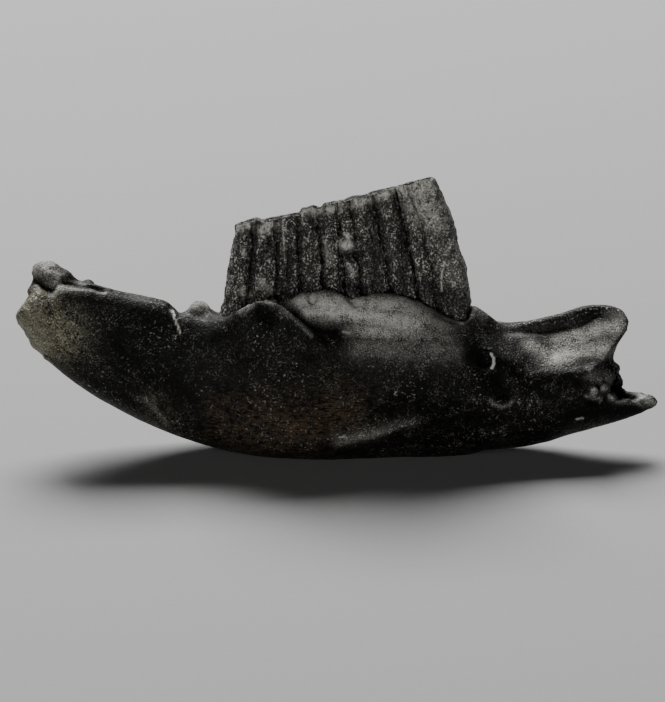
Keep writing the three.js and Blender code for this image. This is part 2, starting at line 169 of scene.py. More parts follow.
# The same on the bone's inner side, in millimetres along the jaw and up
INNER_CARVING = strokes(
    (0.30, 0.20, (-18.2, 9.9), (-15.5, 9.0), (-13.0, 8.0), (-11.0, 6.6), (-10.6, 5.4)),
    (0.22, 0.14, (-17.2, 5.9), (-14.6, 4.6), (-12.2, 4.2), (-10.8, 4.9)),
    (0.16, -0.16, (-17.0, 7.6), (-15.0, 6.4), (-12.6, 5.6)),
    (0.14, 0.12, (-16.6, 8.4), (-14.4, 7.4), (-12.2, 6.5)),
    (0.14, -0.12, (-15.8, 5.9), (-13.8, 5.0)),
    (0.34, 0.14, (-8.6, 7.3), (-5.5, 6.7), (-2.0, 6.7), (1.5, 7.1), (5.5, 7.4), (9.2, 7.7)),
    (0.55, -0.18, (-8.0, 5.9), (-3.0, 5.5), (3.0, 5.8), (7.5, 6.2)),
    (0.34, 0.15, (8.6, 2.6), (11.5, 3.3), (14.5, 4.0), (16.2, 4.7)),
    (1.10, -0.38, (12.6, 4.9), (15.2, 5.4)),
    (0.45, 0.16, (10.2, 7.9), (12.6, 7.2), (15.0, 7.3)),
    (0.40, -0.22, (11.6, 5.9), (12.6, 5.7)),
    (0.70, 0.14, (-5.0, 8.7), (-4.9, 8.0)),
    (0.60, 0.14, (-2.0, 9.1), (-1.9, 8.3)),
    (0.60, 0.14, (1.2, 9.2), (1.3, 8.4)),
    (0.60, 0.14, (4.2, 9.0), (4.4, 8.3)),
    (0.16, -0.14, (-3.4, 9.5), (-3.4, 8.4)),
    (0.16, -0.14, (-0.4, 9.7), (-0.3, 8.5)),
    (0.16, -0.14, (2.8, 9.6), (2.9, 8.5)),
    (0.14, -0.22, (-9.4, 4.0)),
    (0.12, -0.20, (-6.2, 3.3)),
    (0.12, -0.18, (3.0, 3.2)),
    (0.14, -0.22, (-13.4, 8.6)),
    (0.10, -0.16, (8.2, 4.6)),
    (0.08, -0.07, (-3.2, 4.7), (1.4, 3.6)),
    (0.08, -0.07, (4.6, 4.4), (6.4, 3.0)),
    (1.30, -0.14, (-5.0, 3.4), (3.0, 3.2)),
    place_of=in_millimetres,
)
# The rough patch where the other half of the jaw was joined, and broken bone behind
INNER_BROKEN = strokes(
    (1.0, 0.7, (-16.6, 8.0), (-12.6, 5.8)), (0.5, 0.5, (16.8, 5.4), (17.2, 6.4)), place_of=in_millimetres
)
# Whole parts moved: place in photograph pixels, reach, and moves along X and Z in millimetres
BONE_GRABS = (
    ((180, 305), 0.45, (0.0, -0.4)),
    ((219, 306), 0.45, (0.0, -0.55)),
    ((80, 276), 0.5, (0.0, -0.28)),
    ((313, 296), 0.28, (0.0, -0.38)),
    ((351, 297), 0.3, (0.0, -0.16)),
    ((626, 344), 0.75, (-0.5, 0.0)),
    ((616, 356), 0.6, (-0.35, 0.0)),
    ((630, 318), 0.6, (0.15, 0.0)),
    ((650, 403), 0.7, (0.25, 0.0)),
    ((30, 356), 1.0, (-0.1, -0.12)),
    ((39, 358), 0.3, (-0.22, 0.04)),
)
STUMP_GRABS = (
    ((14, 290), 1.0, (0.75, 0.0)),
    ((14, 303), 0.6, (0.2, 0.0)),
    ((18, 340), 0.9, (0.45, 0.25)),
    ((34, 352), 0.8, (0.0, 0.16)),
    ((30, 282), 0.8, (0.0, 0.3)),
)
# Where wear has rounded the bone's edges
SOFTENED = strokes((0.75, 1.0, (474, 342), (472, 368)), (0.5, 0.8, (480, 350)))
TOOTH_GRABS = (
    ((226, 230), 1.2, (0.4, 0.0)),
    ((221, 300), 0.9, (0.2, 0.0)),
    ((439, 193), 0.5, (0.12, 0.0)),
    ((463, 247), 0.9, (-0.22, 0.0)),
)
# Where broken bone is lumpy
BROKEN = strokes(
    (0.9, 1.0, (590, 378), (612, 372), (612, 396)),
    (0.35, 0.8, (585, 395), (606, 398)),
    (0.7, 0.35, (36, 268), (50, 266), (60, 274)),
    (0.4, 0.4, (634, 400), (648, 401)),
)

# Pale chips and a pale crack on the bone, and a painted highlight on the far rim of the small hole behind
# the teeth
CHIPS_AND_HIGHLIGHT = strokes(
    # Painted highlight: the far rim of the small hole, where it catches the light
    (0.115, 0.95, (490, 353), (493, 358), (493, 364), (491, 368)),
    (0.13, 0.75, (343, 332), (350, 333)),
    (0.12, 0.75, (173, 311), (176, 320), (181, 333)),
    (0.12, 0.60, (576, 419), (583, 418)),
    (0.10, 0.60, (394, 394), (396, 391)),
    (0.13, 0.60, (339, 437), (345, 436)),
)
# Places and edges that weathering has turned grey, and painted highlights and sheen on edges and faces
# that the light catches
WORN_AND_HIGHLIGHTS = strokes(
    (0.55, 1.0, (293, 303), (345, 304), (400, 305), (425, 314)),
    (0.6, 1.0, (308, 311), (340, 312), (380, 318), (415, 324)),
    (0.4, 0.65, (350, 330), (390, 333)),
    (0.5, 0.4, (390, 333), (415, 334)),
    (0.6, 0.25, (415, 334), (448, 336)),
    (0.8, 0.2, (360, 346), (420, 348), (450, 350)),
    (0.6, 0.72, (560, 344), (585, 336), (617, 322)),
    (0.6, 0.62, (555, 355), (600, 345)),
    (0.4, 0.4, (530, 345), (545, 352)),
    (0.45, 0.16, (512, 329), (545, 327), (590, 314)),
    (0.35, 0.65, (604, 310), (622, 316)),
    (0.5, 0.48, (38, 269), (52, 268), (58, 278), (56, 284)),
    (0.08, 0.7, (60, 286), (85, 290), (106, 293)),
    (0.08, 0.7, (70, 281), (86, 285)),
    (0.22, 0.12, (134, 297), (148, 300)),
    (0.42, 0.6, (192, 306), (204, 307)),
    (0.20, 0.1, (213, 316), (232, 318)),
    (0.20, 0.6, (222, 312), (234, 300)),
    (0.34, 0.20, (340, 442), (358, 438), (385, 430)),
    (0.28, 0.15, (385, 430), (398, 424), (412, 422)),
    (0.30, 0.2, (474, 307), (481, 316)),
    (0.50, 0.14, (592, 376), (608, 384)),
    (0.30, 0.65, (640, 399), (652, 402)),
    (0.10, 0.50, (618, 389), (630, 394), (642, 396)),
    (0.25, 0.5, (240, 310), (252, 305)),
    (0.10, 0.25, (489, 400), (494, 405), (501, 407), (508, 405), (512, 401)),
    (0.22, 0.80, (593, 391)),
    (0.18, 0.60, (603, 388)),
    (0.18, 0.95, (612, 398)),
    (0.12, 0.30, (586, 396), (600, 399)),
    (0.09, 0.55, (616, 402), (640, 403)),
    (0.09, 0.80, (638, 403), (643, 408)),
    (0.60, 0.45, (425, 320), (448, 326)),
    (0.17, 0.95, (246, 301), (262, 299), (274, 302)),
    (0.10, 0.30, (275, 302), (290, 315), (312, 336)),
    (0.11, 0.8, (400, 298), (415, 304), (430, 311), (447, 320), (462, 324)),
    (0.14, 0.12, (145, 398), (157, 410), (166, 424)),
    (0.10, 0.10, (152, 396), (157, 412)),
)
# Painted shade: places darkened to stand in for shade in hollows and undercuts, under the rear prong and
# on edges that the lights catch too brightly
PAINTED_SHADE = strokes(
    (0.17, 1.0, (30, 278), (40, 285), (52, 291)),
    (0.30, 0.7, (66, 283), (100, 290)),
    (0.45, 0.3, (322, 324), (350, 326)),
    (0.36, 0.9, (258, 312), (275, 321)),
    (0.50, 0.15, (508, 326), (582, 316)),
    (0.35, 0.6, (213, 318), (232, 319)),
    (0.25, 0.4, (130, 298), (150, 301)),
    (0.30, 0.4, (474, 308), (482, 317)),
    (0.60, 1.0, (572, 414), (600, 412), (642, 411)),
    (1.40, 0.6, (120, 340), (165, 380)),
    (0.28, 1.0, (614, 388), (634, 397)),
    (0.40, 0.8, (345, 452), (420, 440)),
    (0.55, 0.9, (492, 380), (506, 392)),
    (0.45, 0.9, (474, 352), (484, 366)),
    (0.50, 0.8, (90, 300), (130, 306), (165, 316)),
    (0.40, 0.6, (190, 325), (215, 330)),
    (0.60, 0.7, (395, 412), (425, 405)),
)
# Brown earth in the hollow of the outer side, and the olive skin of the front end
EARTH = strokes(
    (2.2, 0.9, (235, 425), (300, 430), (340, 415)),
    (1.4, 0.6, (330, 385), (360, 395)),
)
OLIVE = strokes(
    (1.8, 1.0, (18, 318), (42, 332)),
    (1.5, 0.9, (45, 314), (64, 334)),
    (1.0, 0.18, (150, 402), (162, 418)),
)

# The same on the cheek teeth
TOOTH_CARVING = strokes(
    (0.10, -0.16, (279, 222), (281, 250), (284, 292)),
    (0.10, -0.16, (299, 216), (300, 250), (300, 290)),
    (0.10, -0.14, (256, 224), (254, 260), (252, 298)),
    (0.09, -0.12, (321, 208), (323, 240), (322, 285)),
    (0.10, -0.12, (337, 206), (339, 235), (341, 285)),
    (0.45, -0.20, (372, 210), (375, 250), (375, 290)),
    (0.35, -0.20, (397, 198), (404, 240), (404, 292)),
    (0.30, -0.20, (291, 255), (287, 292)),
    (0.25, -0.16, (270, 243), (262, 262)),
    (0.25, -0.22, (346, 256), (362, 256)),
    (0.30, -0.22, (348, 284), (364, 290)),
    (0.25, -0.16, (311, 215), (316, 228)),
    (0.30, -0.14, (238, 236), (246, 232)),
    (0.35, 0.28, (344, 240), (347, 248)),
    (0.22, 0.16, (350, 266), (353, 274)),
    (0.25, 0.14, (242, 248), (244, 258)),
    (0.20, 0.14, (320, 262), (318, 268)),
    (0.12, 0.12, (222, 308), (231, 288)),
    (0.10, 0.10, (386, 225), (392, 250), (396, 270)),
    (0.50, -0.16, (428, 285), (455, 298)),
    (0.60, 0.10, (420, 195), (432, 215)),
    (0.25, 0.14, (449, 240), (460, 285)),
)
TOOTH_CHIPS = strokes(
    (0.22, 1.0, (342, 246), (352, 246)),
    (0.16, 0.9, (347, 236), (348, 242)),
    (0.16, 0.5, (350, 267), (353, 275)),
    (0.05, 0.9, (444, 262), (441, 276), (441, 291)),
    (0.10, 0.6, (243, 250), (245, 256)),
    (0.09, 0.8, (321, 266), (319, 269)),
)
# Pale weathered enamel, and painted highlights on the tops of the ridges and on the lit face of the third
# tooth
TOOTH_PALE_AND_HIGHLIGHTS = strokes(
    (0.30, 1.0, (237, 228), (249, 226)),
    (0.28, 1.0, (262, 231), (277, 224)),
    (0.12, 0.45, (283, 226), (284, 250)),
    (0.30, 1.0, (304, 213), (318, 212)),
    (0.26, 1.0, (329, 210), (338, 208)),
    (0.32, 0.9, (352, 206), (369, 200)),
    (0.32, 1.0, (377, 198), (392, 193)),
    (0.70, 1.0, (405, 190), (428, 184)),
    (0.90, 0.6, (416, 205), (434, 220)),
    (0.60, 0.2, (446, 245), (456, 280)),
    (0.25, 0.6, (262, 282), (272, 294)),
    (0.30, 0.5, (242, 290), (248, 298)),
    (0.25, 0.4, (322, 240), (330, 262)),
)
# Painted shade on the teeth: the grooves between the ridges and the place under the third tooth, darkened
# where shade falls
TOOTH_SHADE = strokes(
    (0.50, 0.9, (371, 210), (374, 250), (374, 290)),
    (0.40, 0.9, (397, 200), (404, 240), (404, 292)),
    (0.35, 0.9, (291, 250), (287, 292)),
    (0.28, 0.8, (269, 243), (262, 262)),
    (0.25, 1.0, (346, 256), (362, 257)),
    (0.35, 1.0, (348, 284), (364, 291)),
    (0.22, 0.9, (311, 216), (316, 228)),
    (0.75, 1.0, (425, 292), (456, 302)),
    (0.20, 0.7, (254, 235), (252, 270)),
    (0.30, 0.6, (304, 285), (312, 292)),
)
# How far the chewing edge stands above or below its plane: photograph column and millimetres
CHEWING_EDGE_PX = (
    (234, -0.05), (242, 0.0), (257, 0.0), (262, -0.2), (299, -0.28), (302, -0.05), (313, -0.03),
    (320, -0.28), (324, -0.04), (345, -0.1), (352, 0.0), (368, -0.12), (372, 0.0), (398, 0.02),
    (420, 0.1), (432, 0.1),
)
# The plane that the cheek teeth wear down to: a place on it in millimetres, and its slopes
CHEWING_PLANE = {"x": -6.7, "y": -1.0, "z": 15.2, "rise": 0.24, "tilt": 0.3}


class JawSizes(bpy.types.PropertyGroup):
    """Sizes of the jaw's surface relief."""

    bone_voxel: FloatProperty(
        name="Bone Voxel", description="Spacing of the bone's fine mesh, in millimetres",
        default=0.13, min=0.05,
    )
    tooth_voxel: FloatProperty(
        name="Tooth Voxel", description="Spacing of the teeth's fine mesh, in millimetres",
        default=0.075, min=0.04,
    )
    swell: FloatProperty(
        name="Swell", description="Height of the bone's broad unevenness, in millimetres",
        default=0.09, min=0.0,
    )
    grain: FloatProperty(
        name="Grain", description="Height of the bone's coarse grain, in millimetres",
        default=0.018, min=0.0,
    )
    enamel_rim: FloatProperty(
        name="Enamel Rim", description="Width of the enamel round each chewing surface, in millimetres",
        default=0.16,
    )
    dentine_depth: FloatProperty(
        name="Dentine Depth", description="How far the dentine is worn below the enamel, in millimetres",
        default=0.2,
    )


class JawColours(bpy.types.PropertyGroup):
    """Colours of the fossil."""

    bone: FloatVectorProperty(
        name="Bone", description="Black mineralised bone", subtype="COLOR", size=3,
        default=(0.0024, 0.0022, 0.0019),
    )
    # Worn bone, and also the colour of the painted highlights and sheen
    worn: FloatVectorProperty(
        name="Worn Bone", description="Bone that weathering turned grey", subtype="COLOR", size=3,
        default=(0.56, 0.555, 0.51),
    )
    earth: FloatVectorProperty(
        name="Earth", description="Brown earth in the outer hollow", subtype="COLOR", size=3,
        default=(0.078, 0.053, 0.032),
    )
    olive: FloatVectorProperty(
        name="Olive", description="Olive skin of the front end", subtype="COLOR", size=3,
        default=(0.17, 0.157, 0.10),
    )
    # Also the colour of the painted glints on the enamel and of pale specks in worn and highlighted places
    chip: FloatVectorProperty(
        name="Chips", description="Fresh pale chips", subtype="COLOR", size=3,
        default=(0.6, 0.59, 0.54),
    )
    enamel: FloatVectorProperty(
        name="Enamel", description="Dark enamel of the cheek teeth", subtype="COLOR", size=3,
        default=(0.013, 0.012, 0.01),
    )
    # Weathered enamel, and also the colour of the painted highlights on the teeth
    pale_enamel_and_highlight: FloatVectorProperty(
        name="Pale Enamel", description="Weathered enamel of the ridges", subtype="COLOR", size=3,
        default=(0.62, 0.61, 0.54),
    )
    dentine: FloatVectorProperty(
        name="Dentine", description="Worn dentine inside the enamel", subtype="COLOR", size=3,
        default=(0.016, 0.014, 0.011),
    )


class StageSettings(bpy.types.PropertyGroup):
    """Floor, lights and camera."""

    floor_colour: FloatVectorProperty(
        name="Floor", description="Plain pale floor", subtype="COLOR", size=3, default=(0.30, 0.30, 0.299)
    )
    camera_distance: FloatProperty(
        name="Camera Distance", description="From the camera to the jaw", default=0.6, unit="LENGTH"
    )
    key_power: FloatProperty(
        name="Key Power", description="Power of the light behind and above, in watts",
        default=4.8,
    )
    fill_power: FloatProperty(
        name="Fill Power", description="Power of the light in front, in watts",
        default=0.8,
    )
    glint_power: FloatProperty(
        name="Glint Power", description="Power of the small light that picks out the grain, in watts",
        default=0.12,
    )
    room_light: FloatProperty(
        name="Room Light", description="Strength of the light from all round", default=0.006
    )


def settings():
    """The three groups of values, from the scene."""
    scene = bpy.context.scene
    return scene.jaw_sizes, scene.jaw_colours, scene.jaw_stage


# Modelling
def select_only(*objects):
    """Leave just these objects selected, the first one active."""
    bpy.ops.object.select_all(action="DESELECT")
    for obj in objects:
        obj.select_set(True)
    bpy.context.view_layer.objects.active = objects[0]


def copy_of_node(node, name):
    """A merged copy of a CAD node's mesh, in millimetres so that fine voxels are allowed."""
    mesh = frame["nodes"][node].data.copy()
    mesh.materials.clear()
    piece = bpy.data.objects.new(name, mesh)
    bpy.context.scene.collection.objects.link(piece)
    mesh.transform(TO_MM)
    select_only(piece)
    bpy.ops.object.mode_set(mode="EDIT")
    bpy.ops.mesh.select_all(action="SELECT")
    bpy.ops.mesh.remove_doubles(threshold=MERGE_DISTANCE)
    bpy.ops.object.mode_set(mode="OBJECT")
    if mesh.has_custom_normals:
        bpy.ops.mesh.customdata_custom_splitnormals_clear()
    return piece


def apply_modifier(piece, kind, **values):
    """Add a modifier with these values and apply it."""
    select_only(piece)
    modifier = piece.modifiers.new(kind.title(), kind)
    for key, value in values.items():
        setattr(modifier, key, value)
    bpy.ops.object.modifier_apply(modifier=modifier.name)


def roughen(piece, size, height):
    """Push the surface in and out by cloudy noise: size of its blobs and height, in millimetres."""
    texture = bpy.data.textures.new(f"{piece.name}_clouds", "CLOUDS")
    texture.noise_scale = size
    texture.noise_depth = 2
    apply_modifier(
        piece, "DISPLACE", texture=texture, texture_coords="LOCAL", strength=height, mid_level=0.5
    )


def read_points(mesh):
    """Where the vertices are, one row each."""
    points = np.empty(len(mesh.vertices) * 3, np.float32)
    mesh.vertices.foreach_get("co", points)
    return points.reshape(-1, 3).astype(float)


def write_points(mesh, points):
    """Move the vertices to these places."""
    mesh.vertices.foreach_set("co", points.astype(np.float32).ravel())
    mesh.update()


def read_normals(mesh):
    """Which way the surface faces at each vertex."""
    normals = np.empty(len(mesh.vertices) * 3, np.float32)
    mesh.vertex_normals.foreach_get("vector", normals)
    return normals.reshape(-1, 3).astype(float)


def read_edges(mesh):
    """The two vertices of each edge."""
    edges = np.empty(len(mesh.edges) * 2, np.int32)
    mesh.edges.foreach_get("vertices", edges)
    return edges.reshape(-1, 2)


def cloud(points, size, shift=0.0):
    """Smooth noise, about -1 to 1, at each point; size, in millimetres, may differ along X, Y and Z."""
    return np.array([noise.noise(place) for place in (points / np.array(size) + shift).tolist()])


def smoothed(points, edges, rounds):
    """The points after each has moved to the middle of its neighbours a number of times."""
    count = len(points)
    ends = np.concatenate([edges[:, 0], edges[:, 1]])
    others = np.concatenate([edges[:, 1], edges[:, 0]])
    share = 1 / np.maximum(np.bincount(ends, minlength=count), 1)
    for _ in range(rounds):
        points = np.stack(
            [np.bincount(ends, points[others, axis], minlength=count) * share for axis in range(3)], axis=1
        )
    return points


def standing_out(mesh, rounds):
    """How far each vertex stands out of its surroundings, in millimetres: less than 0 in a groove."""
    points = read_points(mesh)
    away = points - smoothed(points, read_edges(mesh), rounds)
    return np.sum(away * read_normals(mesh), axis=1)


def touch_of(places, line):
    """How strongly one line touches each place of its view."""
    start, end, half_width, strength = line
    a = np.array(start)
    run = np.array(end) - a
    length = max(float(run @ run), 1e-9)
    along = np.clip((places - a) @ run / length, 0, 1)
    gap = np.linalg.norm(places - a - along[:, None] * run, axis=1)
    return strength * np.exp(-((gap / half_width) ** 2))


def touched_by(places, lines):
    """The strongest touch of any line at each place: the greatest in size, sunk or raised."""
    touched = np.zeros(len(places))
    for line in lines:
        touch = touch_of(places, line)
        touched = np.where(np.abs(touch) > np.abs(touched), touch, touched)
    return touched


def ramp(values, start, end):
    """0 at start, 1 at end, even between them and flat beyond."""
    return np.clip((values - start) / (end - start), 0, 1)


def facing_viewer(normals):
    """1 where the surface looks at the outer view, 0 where it looks away."""
    toward = np.array([0, -math.cos(VIEW_ELEVATION), math.sin(VIEW_ELEVATION)])
    return ramp(normals @ toward, -0.15, 0.1)


def carve_inner(mesh, lines, heights=1.0):
    """Raise or sink the inner side along a list of lines, each vertex by its share of heights."""
    points = read_points(mesh)
    normals = read_normals(mesh)
    inward = ramp(normals[:, 1], 0, 1 / 3) * ramp(points[:, 1], 0.6, 1.0)
    amount = touched_by(inner_view(points), lines) * inward * heights
    write_points(mesh, points + normals * amount[:, None])


def carve(mesh, lines, end):
    """Raise or sink the outer side along a list of lines; nothing further in than end moves."""
    points = read_points(mesh)
    normals = read_normals(mesh)
    amount = touched_by(outer_view(points), lines) * facing_viewer(normals) * (points[:, 1] < end)
    write_points(mesh, points + normals * amount[:, None])


def soften(mesh, lines, rounds):
    """Smooth the surface along a list of lines."""
    points = read_points(mesh)
    share = touched_by(outer_view(points), lines)[:, None]
    write_points(mesh, points + (smoothed(points, read_edges(mesh), rounds) - points) * share)


def grab(mesh, grabs):
    """Move whole parts of the outline along X and Z, as a sculptor's grab brush does."""
    points = read_points(mesh)
    places = outer_view(points)
    for place, reach, (along, up) in grabs:
        gap = np.linalg.norm(places - np.array(from_photo(*place)), axis=1)
        pull = np.exp(-((gap / reach) ** 2))
        points[:, 0] += along * pull
        points[:, 2] += up * pull
    write_points(mesh, points)


def paint(mesh, name, values):
    """Store a value per vertex for the materials to read."""
    attribute = mesh.attributes.new(name, "FLOAT", "POINT")
    attribute.data.foreach_set("value", np.clip(values, 0, 1).astype(np.float32))


def finish_piece(piece, node, material):
    """Back to metres, shaded smooth, dressed, and standing for its CAD node."""
    piece.data.transform(TO_METRES)
    select_only(piece)
    bpy.ops.object.shade_smooth()
    piece.data.materials.append(material)
    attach(piece, "root")
    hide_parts(node)


# Materials
# Colours of single marks, in linear red, green and blue
BONE_MOTTLE = (0.05, 0.047, 0.041)
BONE_FIBRES = (0.2, 0.195, 0.17)
# Painted glints on the bone
BONE_GLINT_SPECKS = (0.38, 0.37, 0.33)
# Painted shade on the bone
BONE_PAINTED_SHADE = (0.0022, 0.002, 0.0018)
OLIVE_CRUMBS = (0.42, 0.41, 0.33)
ENAMEL_MOTTLE = (0.075, 0.071, 0.06)
# Painted shade on the enamel
ENAMEL_SHADE = (0.006, 0.0055, 0.005)
ENAMEL_TOP = (0.03, 0.028, 0.024)
STUMP_SKIN = (0.028, 0.026, 0.018)
# Painted shade on the stump, in grooves
STUMP_GROOVE_SHADE = (0.012, 0.011, 0.008)
STUMP_CHIPS = (0.2, 0.195, 0.16)
# Painted shade on the stump, in hollows
STUMP_PAINTED_SHADE = (0.003, 0.0028, 0.0024)


class Field:
    """A shader value that Python's operators work on."""

    def __init__(self, shader, socket):
        self.shader = shader
        self.socket = socket

    def _math(self, operation, *operands, clamp=False):
        values = {"operation": operation, "use_clamp": clamp}
        node = self.shader.add("ShaderNodeMath", values, dict(enumerate(operands)))
        return Field(self.shader, node.outputs[0])

    def __add__(self, other):
        return self._math("ADD", self, other)

    __radd__ = __add__

    def __rsub__(self, other):
        return self._math("SUBTRACT", other, self)

    def __mul__(self, other):
        return self._math("MULTIPLY", self, other)

    __rmul__ = __mul__

    def clamped(self):
        """The value held between 0 and 1."""
        return self._math("ADD", self, 0.0, clamp=True)


class Shader:
    """A material and its nodes."""

    def __init__(self, name):
        self.material = bpy.data.materials.new(name)
        self.material.use_nodes = True
        self.tree = self.material.node_tree
        self.tree.nodes.clear()
        self.place = Field(self, self.add("ShaderNodeTexCoord", {}, {}).outputs["Object"])

    def add(self, kind, values, inputs):
        """One node: its settings first, then the values or links of its sockets."""
        node = self.tree.nodes.new(kind)
        for key, value in values.items():
            setattr(node, key, value)
        for key, value in inputs.items():
            if isinstance(value, Field):
                self.tree.links.new(value.socket, node.inputs[key])
            else:
                node.inputs[key].default_value = value
        return node

    def noise(self, size_mm, detail, roughness, stretch=(1, 1, 1)):
        """Cloudy noise whose blobs are about size_mm across, longer where stretch is larger."""
        scale = tuple(1 / s for s in stretch)
        moved = self.add("ShaderNodeMapping", {}, {"Vector": self.place, "Scale": scale})
        inputs = {
            "Vector": Field(self, moved.outputs[0]), "Scale": 1 / (size_mm * MM),
            "Detail": detail, "Roughness": roughness,
        }
        return Field(self, self.add("ShaderNodeTexNoise", {}, inputs).outputs["Fac"])

    def painted(self, name):
        """A value painted on the mesh."""
        return Field(self, self.add("ShaderNodeAttribute", {"attribute_name": name}, {}).outputs["Fac"])

    def between(self, field, low, high):
        """0 below low, 1 above high, and a smooth step between."""
        inputs = {"Value": field, "From Min": low, "From Max": high}
        return Field(
            self, self.add("ShaderNodeMapRange", {"interpolation_type": "SMOOTHSTEP"}, inputs).outputs[0]
        )

    def blend(self, mask, colour_a, colour_b):
        """From colour_a where mask is 0 to colour_b where it is 1."""
        inputs = {0: mask, 6: as_colour(colour_a), 7: as_colour(colour_b)}
        return Field(self, self.add("ShaderNodeMix", {"data_type": "RGBA"}, inputs).outputs[2])

    def bump(self, height, depth_mm, below=None):
        """A bump of this depth, on top of another one."""
        inputs = {"Height": height, "Distance": depth_mm * MM, "Strength": 1.0}
        if below is not None:
            inputs["Normal"] = below
        return Field(self, self.add("ShaderNodeBump", {}, inputs).outputs[0])

    def close(self, colour, roughness, normal, specular=0.38):
        """The surface shader and its output."""
        inputs = {
            "Base Color": as_colour(colour), "Roughness": roughness, "Normal": normal,
            "Specular IOR Level": specular,
        }
        surface = self.add("ShaderNodeBsdfPrincipled", {}, inputs)
        self.add("ShaderNodeOutputMaterial", {}, {"Surface": Field(self, surface.outputs[0])})
        return self.material


def as_colour(colour):
    """What a colour socket takes: a Field as it is, or three numbers with their alpha."""
    return colour if isinstance(colour, Field) else (*colour, 1.0)


def bone_material():
    """Black bone with grain, grey worn places, painted highlights, glints and shade, brown earth, an olive
    front and pale chips.
    """
    _, colours, _ = settings()
    shader = Shader("fossil_bone")
    fine = shader.noise(0.13, detail=1, roughness=0.5)
    pits = shader.noise(0.24, detail=2, roughness=0.6)
    coarse = shader.noise(0.6, detail=4, roughness=0.62)
    broad = shader.noise(2.6, detail=3, roughness=0.55)
    specks = shader.between(fine + 0.6 * pits, 0.93, 1.06)
    powder = shader.noise(0.08, detail=1, roughness=0.5)
    mottle = shader.between(powder + 0.5 * coarse, 0.8, 0.98)
    patches = shader.between(shader.noise(1.5, detail=3, roughness=0.6), 0.4, 0.62)
    mottle = mottle * (0.35 + 1.05 * patches) * (0.9 - 0.4 * shader.painted("inner"))
    colour = shader.blend(mottle.clamped(), colours.bone, BONE_MOTTLE)
    fibre = shader.noise(0.9, detail=3, roughness=0.55)
    fibres = shader.between(fibre, 0.475, 0.5) * (1 - shader.between(fibre, 0.5, 0.525)) * patches
    fibres = (fibres * shader.between(powder, 0.42, 0.6)).clamped()
    colour = shader.blend(fibres * 0.55, colour, BONE_FIBRES)
    bedding = shader.noise(0.12, detail=2, roughness=0.6, stretch=(3, 1, 1))
    cover = shader.between(bedding + 0.4 * broad + 0.3 * coarse, 0.7, 1.04) * (1.05 - 0.5 * patches)
    earth = (shader.painted("earth") * cover).clamped()
    colour = shader.blend(earth, colour, colours.earth)
    olive = (shader.painted("olive") * shader.between(0.8 * fine + 0.8 * coarse, 0.6, 1.0)).clamped()
    colour = shader.blend(olive, colour, colours.olive)
    crumbs = (shader.painted("olive") * shader.between(powder, 0.56, 0.7)).clamped()
    colour = shader.blend(crumbs * 0.8, colour, OLIVE_CRUMBS)
    # Worn grey bone and painted highlights and sheen, with pale specks in them
    worn = (shader.painted("worn") * shader.between(coarse + 0.9 * powder, 0.52, 1.12)).clamped()
    colour = shader.blend(worn, colour, colours.worn)
    bright = (shader.painted("worn") * shader.between(powder, 0.54, 0.66)).clamped()
    colour = shader.blend(bright, colour, colours.chip)
    # Painted glints: pale specks, more on raised lumps and fewer on the inner side
    glint_specks = specks * shader.between(broad + coarse, 0.85, 1.2) * (0.5 + 0.6 * shader.painted("ridge"))
    glint_specks = (glint_specks * (1 - 0.7 * shader.painted("inner"))).clamped()
    colour = shader.blend(glint_specks, colour, BONE_GLINT_SPECKS)
    # Painted shade: the bone darkened where shade falls in hollows and undercuts, and rougher there
    shade = shader.painted("shade")
    colour = shader.blend(shade, colour, BONE_PAINTED_SHADE)
    # Pale chips, a pale crack and the painted highlight on the small hole's rim
    chip = shader.between(shader.painted("chip") + 0.5 * fine, 0.5, 1.1)
    colour = shader.blend(chip, colour, colours.chip)
    roughness = 0.5 - 0.2 * shader.between(fine, 0.45, 0.7) + 0.15 * coarse + 0.3 * shade
    normal = shader.bump(coarse, depth_mm=0.07)
    normal = shader.bump(pits, depth_mm=0.03, below=normal)
    normal = shader.bump(fine, depth_mm=0.05, below=normal)
    return shader.close(colour, roughness, normal, specular=0.11)


